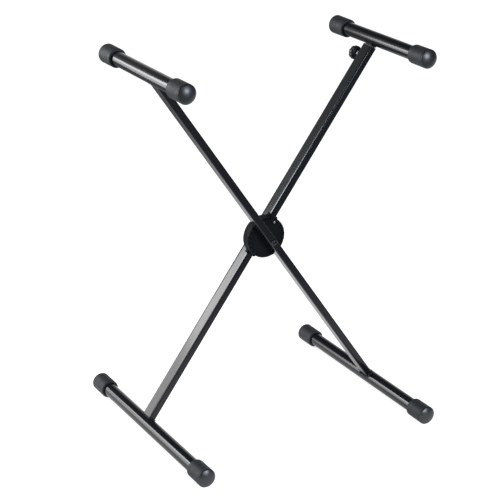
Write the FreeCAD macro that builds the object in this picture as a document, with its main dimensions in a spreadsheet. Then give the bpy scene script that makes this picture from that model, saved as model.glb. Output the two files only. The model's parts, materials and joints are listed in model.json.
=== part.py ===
import FreeCAD, Part
import Sketcher
import math
import os

# Folding keyboard stand: two leaning legs cross at a toothed disc joint and carry two keyboard arms.
# +X runs along the keyboard, +Y towards the player's far side, +Z up. The origin lies on the floor
# straight under the pivot bolt. Lengths are in millimetres and angles in degrees.

DIMENSIONS = [
    # frame
    ("lean_angle", 35.4, "lean of each leg from the vertical"),
    ("lower_leg", 472, "pivot to floor bar, along the leg"),
    ("upper_leg", 480, "pivot to keyboard arm, along the leg"),
    ("tube_width", 16, "leg tube, across the stand"),
    ("tube_depth", 30, "leg tube, front to back"),
    ("tube_corner", 2.5, "leg tube, outer corner radius"),
    ("tube_wall", 1.5, "wall of every steel tube"),
    ("bar_diameter", 30, "floor bars and keyboard arms"),
    ("foot_bar_length", 490, "floor bar without its caps"),
    ("arm_bar_length", 338, "keyboard arm without its caps"),
    # rubber caps
    ("cap_diameter", 40.5, "caps of all bars"),
    ("cap_length", 54, "mouth to the middle of the domed end"),
    ("cap_end_wall", 6, "rubber beyond the bar's end"),
    ("cap_lip", 1.8, "slope of the mouth's lip"),
    ("cap_dome", 6.5, "height of the domed end"),
    # disc joint
    ("disc_radius", 45, "both discs"),
    ("disc_edge", 3, "chamfer of the outer edges"),
    ("disc_front", 11.5, "front face, ahead of the pivot's middle"),
    ("disc_rear", 15, "rear face, behind the pivot's middle"),
    ("front_seat", 2, "depth of the front leg's channel"),
    ("rear_seat", 6.5, "depth of the rear leg's channel"),
    ("skirt_wall", 3, "skirt of the front disc round the rear disc"),
    ("skirt_end", 5, "end of the skirt, behind the pivot's middle"),
    ("web_back", 2.5, "inner face of the front disc, ahead of the middle"),
    ("tooth_inner", 21, "inner radius of the tooth ring"),
    ("tooth_outer", 32, "outer radius of the tooth ring"),
    ("tooth_height", 1.5, "crown teeth"),
    ("tooth_gap", 0.6, "crest to crest, teeth released"),
    ("tooth_count", 24, "teeth on each disc"),
    ("tooth_draft", 12, "slope of the tooth flanks"),
    ("ring_inner", 30, "ring groove in the front face, inner radius"),
    ("ring_outer", 37, "ring groove in the front face, outer radius"),
    ("ring_depth", 1.2, "ring groove in the front face"),
    ("plug_gap", 0.4, "between the rear disc's plug and the skirt"),
    ("notch_depth", 3, "grip notches of the rims"),
    ("notch_width", 2.4, "grip notches of the rims"),
    ("notch_length", 5.5, "grip notches of the rims, inwards from the edge"),
    ("cradle_width", 26, "cradle on the rear disc round the leg"),
    ("cradle_length", 98, "cradle, along the leg"),
    ("cradle_corner", 4, "corners of the cradle's ears"),
    # fold stop
    ("pin_radius", 3, "stop pin"),
    ("pin_circle", 37, "stop pin from the pivot"),
    ("pin_angle", 27, "stop pin from the vertical, towards +X"),
    ("pin_proud", 1.5, "stop pin ahead of the disc's face"),
    ("pin_chamfer", 0.8, "front end of the stop pin"),
    ("fold_in", 65, "fold until the legs lie side by side"),
    ("fold_out", 30, "fold until the stand is lowest"),
    ("slot_margin", 1, "spare turn at each end of the arc slot"),
    ("slot_depth", 5, "arc slot"),
    ("slot_play", 0.2, "arc slot to stop pin, each side"),
    # pivot hardware
    ("bolt_radius", 4, "pivot bolt and clamp screw"),
    ("bolt_play", 0.06, "running clearance of bolt and screw"),
    ("washer_play", 0.2, "bolt to washers and to the front leg's wall"),
    ("screw_play", 0.4, "clamp screw to the holes it passes"),
    ("bolt_spare", 1.5, "bolt beyond its lock nut"),
    ("bolt_chamfer", 0.8, "ends of bolt and clamp screw"),
    ("head_radius", 7, "button head of the pivot bolt"),
    ("head_height", 4.4, "button head of the pivot bolt"),
    ("socket_flats", 5, "hexagon socket, across flats"),
    ("socket_depth", 2.6, "hexagon socket"),
    ("bush_radius", 6, "leg bushes"),
    ("washer_radius", 9, "flat washer"),
    ("washer_thick", 1.6, "flat washer"),
    ("washer_gap", 0.1, "flat washer to the rear leg"),
    ("spring_radius", 8.5, "conical spring washer"),
    ("spring_thick", 1.2, "conical spring washer"),
    ("spring_dish", 1.8, "conical spring washer, its travel as the teeth part"),
    ("nut_flats", 13, "nuts, across flats"),
    ("lock_nut_height", 6.5, "lock nut behind the spring washer"),
    # sliding arm
    ("sleeve_drop", 20, "tube top below the arm's axis"),
    ("sleeve_length", 40, "guide sleeve inside the tube"),
    ("sleeve_flange", 2, "guide sleeve above the tube"),
    ("stem_width", 10, "stem, across the stand"),
    ("stem_depth", 24, "stem, front to back"),
    ("stem_corner", 1.6, "stem, outer corner radius"),
    ("stem_length", 170, "stem below the arm's axis"),
    ("stem_gap", 0.25, "guide sleeve to stem"),
    # clamp knob
    ("clamp_drop", 43, "clamp screw below the arm's axis"),
    ("clamp_nut_height", 5.5, "weld nut behind the tube"),
    ("screw_gap", 0.2, "clamp screw's tip to the stem"),
    ("screw_cover", 3, "plastic behind the clamp screw's end"),
    ("knob_radius", 15, "knob head"),
    ("knob_neck", 8, "radius of the knob's neck"),
    ("knob_start", 1, "weld nut to the knob's neck"),
    ("knob_neck_length", 5, "knob's neck"),
    ("knob_thick", 11.5, "knob head"),
    ("knob_edge", 2, "chamfer of the knob head"),
    ("scallop_radius", 5, "finger hollows round the knob"),
    ("scallop_bite", 1.6, "depth of the finger hollows"),
    ("scallop_count", 8, "finger hollows round the knob"),
]

# Places that follow from the driving dimensions, as sheet formulas.
PIVOT_Z = "(dims.cap_diameter / 2 + dims.lower_leg * cos(dims.lean_angle * 1 deg))"
FRONT_LEG_Y = "(-dims.disc_front + dims.front_seat - dims.tube_depth / 2)"
REAR_LEG_Y = "(dims.disc_rear - dims.rear_seat + dims.tube_depth / 2)"
FRONT_OF_STAND = "(-dims.disc_front + dims.front_seat - dims.tube_depth)"
BACK_OF_STAND = "(dims.disc_rear - dims.rear_seat + dims.tube_depth)"
TUBE_TOP = "(dims.upper_leg - dims.sleeve_drop)"
CLAMP_Z = "(dims.upper_leg - dims.clamp_drop)"
BAR_RADIUS = "(dims.bar_diameter / 2)"
CAP_RADIUS = "(dims.cap_diameter / 2)"
BORE_RADIUS = "(dims.bolt_radius + dims.bolt_play)"
TOOTH_MIDDLE = "(-dims.web_back + dims.tooth_height + dims.tooth_gap)"
PLUG_FACE = "(-dims.web_back + 2 * dims.tooth_height + dims.tooth_gap)"
WALL_BORE = "(dims.bolt_radius + dims.washer_play)"
SCREW_HOLE = "(dims.bolt_radius + dims.screw_play)"
DOME_RADIUS = f"(({CAP_RADIUS} ^ 2 + dims.cap_dome ^ 2) / (2 * dims.cap_dome))"

# The cap's domed end is turned as this many cones.
DOME_CONES = 2
# The button head of the pivot bolt from its middle to its rim, as shares of its height and radius.
BUTTON_HEAD = ((1, 0.6), (0.25, 1))
# How far a cutting sketch runs past the edge that it cuts.
OVERCUT = 0.5
# A cut that takes less than this many cubic millimetres has missed its body.
LEAST_CUT = 0.5
# Where a sketch's points start, on a circle, before their formulas move them.
FIRST_RADIUS = 9
FIRST_TURN = 0.4
# A turned placement needs an angle before its formula is set, or it keeps no axis.
FIRST_ANGLE = 5
# Largest difference between two places or lengths that count as the same.
SAME = 1e-4

doc = FreeCAD.newDocument("keyboard_stand")
sheet = doc.addObject("Spreadsheet::Sheet", "dims")
for row, (alias, value, meaning) in enumerate(DIMENSIONS, start=1):
    sheet.set(f"A{row}", meaning)
    sheet.set(f"B{row}", str(value))
    sheet.setAlias(f"B{row}", alias)
doc.recompute()

parts = []


# ---- Sketch and feature helpers ----------------------------------------------------------------


def new_body(name, listed=True):
    """An empty body for one physical piece, listed with the stand's parts unless it goes into a pair."""
    body = doc.addObject("PartDesign::Body", name)
    body.Label = name
    if listed:
        parts.append(body)
    return body


def new_sketch(body, plane, offset=None):
    """A sketch on one of the body's own planes, moved along the plane's normal by a formula.
    The normal of the XY plane is +Z, of the XZ plane -Y and of the YZ plane +X."""
    sketch = body.newObject("Sketcher::SketchObject", body.Name + "_sketch")
    support = [feature for feature in body.Origin.OriginFeatures if feature.Role == plane][0]
    sketch.AttachmentSupport = [(support, "")]
    sketch.MapMode = "FlatFace"
    if offset:
        sketch.setExpression("AttachmentOffset.Base.z", offset)
    return sketch


def pin_point(sketch, geometry, vertex, x, y, start):
    """Hold a sketch point at the formulas x and y, measured from the sketch's origin."""
    for kind, formula, guess in (("DistanceX", x, start.x), ("DistanceY", y, start.y)):
        index = sketch.addConstraint(Sketcher.Constraint(kind, -1, 1, geometry, vertex, guess))
        sketch.setExpression(f"Constraints[{index}]", formula)


def add_outline(sketch, corners):
    """A closed outline of straight sides. Each corner is a pair of formulas."""
    count = len(corners)
    turn = 2 * math.pi / count
    guess = [FreeCAD.Vector(FIRST_RADIUS * math.cos(FIRST_TURN + turn * i),
                            FIRST_RADIUS * math.sin(FIRST_TURN + turn * i), 0) for i in range(count)]
    first = sketch.GeometryCount
    for i in range(count):
        sketch.addGeometry(Part.LineSegment(guess[i], guess[(i + 1) % count]), False)
    for i in range(count):
        sketch.addConstraint(Sketcher.Constraint("Coincident", first + i, 2, first + (i + 1) % count, 1))
        pin_point(sketch, first + i, 1, corners[i][0], corners[i][1], guess[i])


def add_box(sketch, x, y, width, height):
    """A rectangle centred on (x, y), by its four corners."""
    signs = ((-1, -1), (1, -1), (1, 1), (-1, 1))
    add_outline(sketch, [(f"{x} + {sx} * {width} / 2", f"{y} + {sy} * {height} / 2") for sx, sy in signs])


def add_circle(sketch, x, y, radius):
    """A circle with its centre and radius as formulas."""
    centre = FreeCAD.Vector(1, 2, 0)
    circle = sketch.addGeometry(Part.Circle(centre, FreeCAD.Vector(0, 0, 1), FIRST_RADIUS), False)
    index = sketch.addConstraint(Sketcher.Constraint("Radius", circle, FIRST_RADIUS))
    sketch.setExpression(f"Constraints[{index}]", radius)
    pin_point(sketch, circle, 3, x, y, centre)


def add_hexagon(sketch, x, y, flats):
    """A hexagon with two corners up and down, given across its flats."""
    corners = []
    for i in range(6):
        angle = f"({60 * i + 30} * 1 deg)"
        corners.append((f"{x} + {flats} / sqrt(3) * cos{angle}", f"{y} + {flats} / sqrt(3) * sin{angle}"))
    add_outline(sketch, corners)


def feature(body, kind, sketch, **settings):
    """A PartDesign feature on a sketch. Text values are formulas, the rest are set as they are."""
    made = body.newObject("PartDesign::" + kind, f"{body.Name}_{kind.lower()}")
    made.Profile = sketch
    for key, value in settings.items():
        if key in ("Length", "Angle", "TaperAngle"):
            made.setExpression(key, value)
        else:
            setattr(made, key, value)
    return made


def revolve(body, plane, corners):
    """Turn an outline, given as (place along Y, radius) formulas, once round the body's Y axis."""
    sketch = new_sketch(body, plane)
    add_outline(sketch, corners)
    made = body.newObject("PartDesign::Revolution", body.Name + "_turned")
    made.Profile = sketch
    made.ReferenceAxis = (sketch, ["H_Axis"])
    made.Angle = 360
    return made


def cut(body, sketch, length=None, both_ways=False, backwards=False, draft=None):
    """Cut a sketch away, right through or to a depth, and check that something was removed."""
    doc.recompute()
    before = body.Shape.Volume
    settings = {"Reversed": backwards}
    if both_ways:
        settings["SideType"] = "Symmetric"
    if length:
        settings["Length"] = length
    else:
        settings["Type"] = "ThroughAll"
    if draft:
        settings["TaperAngle"] = draft
    made = feature(body, "Pocket", sketch, **settings)
    doc.recompute()
    if before - body.Shape.Volume < LEAST_CUT:
        raise RuntimeError(f"a cut in {body.Name} removed nothing")
    return made


def repeat_round(body, original, count):
    """Repeat a feature evenly round the body's Y axis."""
    axis = [made for made in body.Origin.OriginFeatures if made.Role == "Y_Axis"][0]
    pattern = body.newObject("PartDesign::PolarPattern", body.Name + "_pattern")
    pattern.Originals = [original]
    pattern.Axis = (axis, [""])
    pattern.Angle = 360
    pattern.setExpression("Occurrences", count)
    body.Tip = pattern
    return pattern


def soften(body, kind, size, wanted):
    """Fillet or chamfer every edge of the body that the test picks out."""
    doc.recompute()
    base = body.Tip
    names = [f"Edge{i}" for i, edge in enumerate(base.Shape.Edges, start=1) if wanted(edge)]
    if not names:
        raise RuntimeError(f"no edge to soften in {body.Name}")
    made = body.newObject("PartDesign::" + kind, f"{body.Name}_{kind.lower()}")
    made.Base = (base, names)
    made.setExpression("Radius" if kind == "Fillet" else "Size", size)
    return made


def number(alias):
    """The value of a driving dimension, for finding edges by their place."""
    return float(sheet.get(alias))


def runs_along(edge, direction):
    """True for a straight edge along a direction."""
    if edge.Curve.TypeId != "Part::GeomLine":
        return False
    return abs(abs(edge.tangentAt(edge.FirstParameter).dot(direction)) - 1) < SAME


def is_ring(edge, radius, y):
    """True for a circle of this radius about the Y axis, at this place along it."""
    if edge.Curve.TypeId != "Part::GeomCircle":
        return False
    return abs(edge.Curve.Radius - radius) < SAME and abs(edge.Curve.Center.y - y) < SAME


ALONG_X = FreeCAD.Vector(1, 0, 0)
ALONG_Y = FreeCAD.Vector(0, 1, 0)
ALONG_Z = FreeCAD.Vector(0, 0, 1)


def lean_with_leg(part, side):
    """Stand a piece, made along Z about the pivot, on the pivot and lean it: +1 right, -1 left."""
    axis = FreeCAD.Vector(0, side, 0)
    part.Placement = FreeCAD.Placement(FreeCAD.Vector(), FreeCAD.Rotation(axis, FIRST_ANGLE))
    part.setExpression("Placement.Rotation.Angle", "dims.lean_angle")
    part.setExpression("Placement.Base.z", PIVOT_Z)


def bar_place(side, top):
    """Formulas for the X and Z of a cross bar's axis."""
    reach = "dims.upper_leg" if top else "dims.lower_leg"
    x = f"{side} * {reach} * sin(dims.lean_angle * 1 deg)"
    rise = f"{reach} * cos(dims.lean_angle * 1 deg)"
    z = f"{PIVOT_Z} + {rise}" if top else CAP_RADIUS
    return x, z


# ---- Steel frame -------------------------------------------------------------------------------


def leg_tube(name, side, middle_y, top, bush_radius):
    """Rectangular leg tube, saddle-cut over the floor bar and bored for its bush."""
    body = new_body(name)
    section = new_sketch(body, "XY_Plane", "-dims.lower_leg")
    add_box(section, "0", middle_y, "dims.tube_width", "dims.tube_depth")
    feature(body, "Pad", section, Length=f"dims.lower_leg + {top}")
    soften(body, "Fillet", "dims.tube_corner", lambda edge: runs_along(edge, ALONG_Z))
    doc.recompute()
    base = body.Tip
    ends = [f"Face{i}" for i, face in enumerate(base.Shape.Faces, start=1)
            if abs(abs(face.normalAt(0, 0).z) - 1) < SAME]
    hollow = body.newObject("PartDesign::Thickness", name + "_hollow")
    hollow.Base = (base, ends)
    hollow.Reversed = True
    hollow.Join = "Intersection"
    hollow.setExpression("Value", "dims.tube_wall")
    holes = new_sketch(body, "XZ_Plane")
    add_circle(holes, "0", "-dims.lower_leg", BAR_RADIUS)
    if side < 0:
        add_circle(holes, "0", "dims.upper_leg", BAR_RADIUS)
    add_circle(holes, "0", "0", bush_radius)
    cut(body, holes, both_ways=True)
    lean_with_leg(body, side)
    return body


def cross_bar(name, side, top):
    """Round tube across the end of a leg."""
    body = new_body(name)
    section = new_sketch(body, "XZ_Plane")
    add_circle(section, "0", "0", BAR_RADIUS)
    add_circle(section, "0", "0", f"{BAR_RADIUS} - dims.tube_wall")
    length = "dims.arm_bar_length" if top else "dims.foot_bar_length"
    feature(body, "Pad", section, Length=length, SideType="Symmetric")
    x, z = bar_place(side, top)
    body.setExpression("Placement.Base.x", x)
    body.setExpression("Placement.Base.z", z)
    return body


def dome_corners():
    """Corners of a cap's domed end, from its edge to its middle, on one arc of DOME_RADIUS."""
    corners = []
    for step in range(DOME_CONES + 1):
        angle = f"({1 - step / DOME_CONES} * asin({CAP_RADIUS} / {DOME_RADIUS}))"
        corners.append((f"dims.cap_length - {DOME_RADIUS} * (1 - cos{angle})", f"{DOME_RADIUS} * sin{angle}"))
    return corners


def end_caps(bar, side, top):
    """The two rubber caps of a bar, mirror images: sloped mouth lip, straight side and domed end."""
    cap = new_body(bar + "_cap_far", listed=False)
    revolve(cap, "YZ_Plane", [
        ("dims.cap_length - dims.cap_end_wall", "0"),
        ("dims.cap_length - dims.cap_end_wall", BAR_RADIUS),
        ("0", BAR_RADIUS),
        ("0", f"{CAP_RADIUS} - dims.cap_lip"),
        ("dims.cap_lip", CAP_RADIUS),
    ] + dome_corners())
    length = "dims.arm_bar_length" if top else "dims.foot_bar_length"
    x, z = bar_place(side, top)
    cap.setExpression("Placement.Base.x", x)
    cap.setExpression("Placement.Base.y", f"{length} / 2 - dims.cap_length + dims.cap_end_wall")
    cap.setExpression("Placement.Base.z", z)
    mirrored = doc.addObject("Part::Mirroring", bar + "_cap_near")
    mirrored.Source = cap
    mirrored.Normal = ALONG_Y
    pair = doc.addObject("Part::Compound", bar + "_caps")
    pair.Links = [cap, mirrored]
    pair.Label = bar + "_caps"
    parts.append(pair)
    return pair


# ---- Toothed disc joint ------------------------------------------------------------------------


def crown_teeth(body, crest_offset, towards_rear):
    """Cut the spaces between the crown teeth of one disc, drafted so that the discs seat."""
    space = new_sketch(body, "XZ_Plane", crest_offset)
    half_turn = "(90 deg / dims.tooth_count)"
    inner = f"(dims.tooth_inner - {OVERCUT})"
    outer = f"(dims.tooth_outer + {OVERCUT})"
    add_outline(space, [
        (f"-{inner} * sin{half_turn}", f"{inner} * cos{half_turn}"),
        (f"{inner} * sin{half_turn}", f"{inner} * cos{half_turn}"),
        (f"{outer} * sin{half_turn}", f"{outer} * cos{half_turn}"),
        (f"-{outer} * sin{half_turn}", f"{outer} * cos{half_turn}"),
    ])
    notch = cut(body, space, length="dims.tooth_height", backwards=towards_rear, draft="dims.tooth_draft")
    repeat_round(body, notch, "dims.tooth_count")


def rim_notches(body, face_offset, towards_rear):
    """Radial grip notches round the outer rim of a disc's face."""
    sketch = new_sketch(body, "XZ_Plane", face_offset)
    add_box(sketch, "0", "dims.disc_radius", "dims.notch_width", "2 * dims.notch_length")
    notch = cut(body, sketch, length="dims.notch_depth", backwards=towards_rear)
    repeat_round(body, notch, "dims.tooth_count")


def front_disc():
    """Front half of the joint: a cup with a ringed, notched face and crown teeth inside its skirt."""
    body = new_body("front_hub_disc")
    face = "-dims.disc_front"
    web = "-dims.web_back"
    crest = f"{web} + dims.tooth_height"
    skirt = "dims.disc_radius - dims.skirt_wall"
    revolve(body, "YZ_Plane", [
        (face, BORE_RADIUS),
        (face, "dims.ring_inner"),
        (f"{face} + dims.ring_depth", "dims.ring_inner + dims.ring_depth"),
        (f"{face} + dims.ring_depth", "dims.ring_outer - dims.ring_depth"),
        (face, "dims.ring_outer"),
        (face, "dims.disc_radius"),
        ("dims.skirt_end", "dims.disc_radius"),
        ("dims.skirt_end", skirt),
        (web, skirt),
        (web, "dims.tooth_outer"),
        (crest, "dims.tooth_outer"),
        (crest, "dims.tooth_inner"),
        (web, "dims.tooth_inner"),
        (web, BORE_RADIUS),
    ])
    soften(body, "Chamfer", "dims.disc_edge",
           lambda edge: is_ring(edge, number("disc_radius"), -number("disc_front")))
    rim_notches(body, "dims.disc_front", False)
    crown_teeth(body, "dims.web_back - dims.tooth_height", True)
    seat = new_sketch(body, "XZ_Plane", "dims.disc_front")
    add_box(seat, "0", "0", "dims.tube_width", "dims.lower_leg")
    cut(body, seat, length="dims.front_seat")
    pin_hole = new_sketch(body, "XZ_Plane")
    pin_x, pin_z = stop_pin_place()
    add_circle(pin_hole, pin_x, pin_z, "dims.pin_radius")
    cut(body, pin_hole, both_ways=True)
    lean_with_leg(body, -1)
    return body


def stop_pin_place():
    """X and Z of the stop pin in the front leg's frame."""
    angle = "((dims.pin_angle + dims.lean_angle) * 1 deg)"
    return f"dims.pin_circle * sin{angle}", f"dims.pin_circle * cos{angle}"


def rear_disc():
    """Rear half of the joint: a plug inside the skirt, crown teeth, an arc slot and a leg cradle."""
    body = new_body("rear_hub_disc")
    plug = "dims.disc_radius - dims.skirt_wall - dims.plug_gap"
    flange = "dims.skirt_end + dims.plug_gap"
    revolve(body, "YZ_Plane", [
        (PLUG_FACE, BORE_RADIUS),
        (PLUG_FACE, "dims.tooth_inner"),
        (TOOTH_MIDDLE, "dims.tooth_inner"),
        (TOOTH_MIDDLE, "dims.tooth_outer"),
        (PLUG_FACE, "dims.tooth_outer"),
        (PLUG_FACE, plug),
        (flange, plug),
        (flange, "dims.disc_radius"),
        ("dims.disc_rear", "dims.disc_radius"),
        ("dims.disc_rear", "dims.bush_radius"),
        ("dims.disc_rear - dims.rear_seat", "dims.bush_radius"),
        ("dims.disc_rear - dims.rear_seat", BORE_RADIUS),
    ])
    soften(body, "Chamfer", "dims.disc_edge",
           lambda edge: is_ring(edge, number("disc_radius"), number("disc_rear")))
    rim_notches(body, "-dims.disc_rear", True)
    crown_teeth(body, f"-{TOOTH_MIDDLE}", False)
    arc_slot(body)
    cradle = new_sketch(body, "XZ_Plane", "-dims.disc_rear + dims.rear_seat")
    add_box(cradle, "0", "0", "dims.cradle_width", "dims.cradle_length")
    feature(body, "Pad", cradle, Length="dims.rear_seat", Reversed=True)
    half_length = number("cradle_length") / 2
    soften(body, "Fillet", "dims.cradle_corner",
           lambda edge: runs_along(edge, ALONG_Y) and abs(abs(edge.CenterOfMass.z) - half_length) < SAME)
    seat = new_sketch(body, "XZ_Plane", "-dims.disc_rear")
    add_box(seat, "0", "0", "dims.tube_width", "dims.lower_leg")
    cut(body, seat, length="dims.rear_seat", backwards=True)
    lean_with_leg(body, 1)
    return body


def arc_slot(body):
    """Blind arc slot that the stop pin runs in: a turned groove centred on the pin's middle place."""
    slot = new_sketch(body, "YZ_Plane")
    slot.AttachmentOffset = FreeCAD.Placement(FreeCAD.Vector(), FreeCAD.Rotation(ALONG_X, FIRST_ANGLE))
    middle = "dims.lean_angle - dims.pin_angle - (dims.fold_in - dims.fold_out) / 2"
    slot.setExpression("AttachmentOffset.Rotation.Angle", f"360 - ({middle})")
    width = "(2 * dims.pin_radius + 2 * dims.slot_play)"
    add_box(slot, f"({PLUG_FACE} + dims.slot_depth / 2)", "dims.pin_circle", "dims.slot_depth", width)
    doc.recompute()
    before = body.Shape.Volume
    groove = body.newObject("PartDesign::Groove", body.Name + "_slot")
    groove.Profile = slot
    groove.ReferenceAxis = (slot, ["H_Axis"])
    groove.Midplane = True
    pin_turn = "2 * (asin(dims.pin_radius / dims.pin_circle) + dims.slot_margin * 1 deg)"
    groove.setExpression("Angle", f"(dims.fold_in + dims.fold_out) * 1 deg + {pin_turn}")
    doc.recompute()
    if before - body.Shape.Volume < LEAST_CUT:
        raise RuntimeError("the arc slot removed nothing")


def turned_ring(name, side, front, back, inner, outer):
    """A plain ring about the pivot: a bush, spacer or washer."""
    body = new_body(name)
    revolve(body, "YZ_Plane", [(front, inner), (front, outer), (back, outer), (back, inner)])
    lean_with_leg(body, side)
    return body


def pivot_bolt():
    """Button-head bolt with a hexagon socket, from the front leg to behind the lock nut."""
    body = new_body("pivot_bolt")
    top = f"{FRONT_OF_STAND} - dims.head_height"
    tip = f"{lock_nut_start()} + dims.lock_nut_height + dims.bolt_spare"
    head = [(f"{FRONT_OF_STAND} - {height} * dims.head_height", f"{radius} * dims.head_radius")
            for height, radius in BUTTON_HEAD]
    revolve(body, "YZ_Plane", [(top, "0")] + head + [
        (FRONT_OF_STAND, "dims.head_radius"),
        (FRONT_OF_STAND, "dims.bolt_radius"),
        (f"{tip} - dims.bolt_chamfer", "dims.bolt_radius"),
        (tip, "dims.bolt_radius - dims.bolt_chamfer"),
        (tip, "0"),
    ])
    socket = new_sketch(body, "XZ_Plane", f"-({top})")
    add_hexagon(socket, "0", "0", "dims.socket_flats")
    cut(body, socket, length="dims.socket_depth")
    lean_with_leg(body, -1)
    return body


def spring_start():
    """Front of the spring washer."""
    return f"({BACK_OF_STAND} + dims.washer_gap + dims.washer_thick)"


def lock_nut_start():
    """Front of the lock nut, behind the spring washer."""
    return f"({spring_start()} + dims.spring_thick + dims.spring_dish)"


def spring_washer():
    """Conical spring washer: its rim bears on the flat washer and its eye on the lock nut."""
    body = new_body("spring_washer")
    rim = spring_start()
    eye = f"{rim} + dims.spring_dish"
    revolve(body, "YZ_Plane", [
        (eye, WALL_BORE),
        (rim, "dims.spring_radius"),
        (f"{rim} + dims.spring_thick", "dims.spring_radius"),
        (f"{eye} + dims.spring_thick", WALL_BORE),
    ])
    lean_with_leg(body, -1)
    return body


def hex_nut(name, side, z, front, height):
    """Hexagon nut on a screw along Y."""
    body = new_body(name)
    section = new_sketch(body, "XZ_Plane", f"-({front})")
    add_hexagon(section, "0", z, "dims.nut_flats")
    add_circle(section, "0", z, BORE_RADIUS)
    feature(body, "Pad", section, Length=height, Reversed=True)
    lean_with_leg(body, side)
    return body


def stop_pin():
    """Steel pin pressed into the front disc, its end proud of the face."""
    body = new_body("stop_pin")
    sketch = new_sketch(body, "XZ_Plane", "dims.disc_front + dims.pin_proud")
    pin_x, pin_z = stop_pin_place()
    add_circle(sketch, pin_x, pin_z, "dims.pin_radius")
    feature(body, "Pad", sketch, Length="dims.disc_front + dims.pin_proud + dims.skirt_end", Reversed=True)
    soften(body, "Chamfer", "dims.pin_chamfer",
           lambda edge: edge.Curve.TypeId == "Part::GeomCircle" and edge.CenterOfMass.y < 0)
    lean_with_leg(body, -1)
    return body


# ---- Sliding arm and its clamp -----------------------------------------------------------------


def guide_sleeve():
    """Flanged plastic liner that the stem slides in, bored for the clamp screw."""
    body = new_body("guide_sleeve")
    flange = new_sketch(body, "XY_Plane", TUBE_TOP)
    add_box(flange, "0", REAR_LEG_Y, "dims.tube_width", "dims.tube_depth")
    feature(body, "Pad", flange, Length="dims.sleeve_flange")
    soften(body, "Fillet", "dims.tube_corner", lambda edge: runs_along(edge, ALONG_Z))
    liner = new_sketch(body, "XY_Plane", TUBE_TOP)
    add_box(liner, "0", REAR_LEG_Y, "(dims.tube_width - 2 * dims.tube_wall)",
            "(dims.tube_depth - 2 * dims.tube_wall)")
    feature(body, "Pad", liner, Length="dims.sleeve_length", Reversed=True)
    corner_y = number("tube_depth") / 2 - number("tube_wall")
    middle_y = number("disc_rear") - number("rear_seat") + number("tube_depth") / 2
    lowest_z = number("upper_leg") - number("sleeve_drop")
    soften(body, "Fillet", "dims.tube_corner - dims.tube_wall",
           lambda edge: runs_along(edge, ALONG_Z) and edge.CenterOfMass.z < lowest_z
           and abs(abs(edge.CenterOfMass.y - middle_y) - corner_y) < SAME)
    way = new_sketch(body, "XY_Plane", f"{TUBE_TOP} + dims.sleeve_flange")
    add_box(way, "0", REAR_LEG_Y, "(dims.stem_width + 2 * dims.stem_gap)",
            "(dims.stem_depth + 2 * dims.stem_gap)")
    cut(body, way)
    screw_hole = new_sketch(body, "XZ_Plane", f"-{REAR_LEG_Y}")
    add_circle(screw_hole, "0", CLAMP_Z, SCREW_HOLE)
    cut(body, screw_hole)
    lean_with_leg(body, 1)
    return body


def arm_stem():
    """Smaller tube inside the leg top, saddle-cut to the arm it is welded to."""
    body = new_body("rear_arm_stem")
    section = new_sketch(body, "XY_Plane", "dims.upper_leg - dims.stem_length")
    add_box(section, "0", REAR_LEG_Y, "dims.stem_width", "dims.stem_depth")
    feature(body, "Pad", section, Length="dims.stem_length")
    soften(body, "Fillet", "dims.stem_corner", lambda edge: runs_along(edge, ALONG_Z))
    inside = new_sketch(body, "XY_Plane", "dims.upper_leg")
    add_box(inside, "0", REAR_LEG_Y, "(dims.stem_width - 2 * dims.tube_wall)",
            "(dims.stem_depth - 2 * dims.tube_wall)")
    cut(body, inside)
    saddle = new_sketch(body, "XZ_Plane")
    add_circle(saddle, "0", "dims.upper_leg", BAR_RADIUS)
    cut(body, saddle, both_ways=True)
    lean_with_leg(body, 1)
    return body


def clamp_screw():
    """Screw from the knob through the weld nut, its tip just clear of the stem."""
    screw = doc.addObject("Part::Cylinder", "clamp_screw_blank")
    screw.setExpression("Radius", "dims.bolt_radius")
    screw.setExpression("Height", f"{knob_end()} - dims.screw_cover - {screw_tip()}")
    chamfered = doc.addObject("Part::Chamfer", "clamp_screw")
    chamfered.Base = screw
    doc.recompute()
    tip = [i for i, edge in enumerate(screw.Shape.Edges, start=1)
           if edge.Curve.TypeId == "Part::GeomCircle" and abs(edge.Curve.Center.z) < SAME]
    chamfered.Edges = [(i, number("bolt_chamfer"), number("bolt_chamfer")) for i in tip]
    chamfered.Label = "clamp_screw"
    parts.append(chamfered)
    chamfered.Placement = FreeCAD.Placement(FreeCAD.Vector(), FreeCAD.Rotation(ALONG_X, -90))
    put_on_clamp_axis(chamfered, screw_tip())
    return chamfered


def screw_tip():
    """Y of the clamp screw's tip, a hair behind the stem."""
    return f"({REAR_LEG_Y} + dims.stem_depth / 2 + dims.screw_gap)"


def knob_end():
    """Y of the knob's rear face."""
    neck = "dims.clamp_nut_height + dims.knob_start + dims.knob_neck_length"
    return f"({BACK_OF_STAND} + {neck} + dims.knob_thick)"


def put_on_clamp_axis(part, y):
    """Put a piece's origin on the clamp screw's axis."""
    part.setExpression("Placement.Base.x", f"{CLAMP_Z} * sin(dims.lean_angle * 1 deg)")
    part.setExpression("Placement.Base.y", y)
    part.setExpression("Placement.Base.z", f"{PIVOT_Z} + {CLAMP_Z} * cos(dims.lean_angle * 1 deg)")


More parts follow.
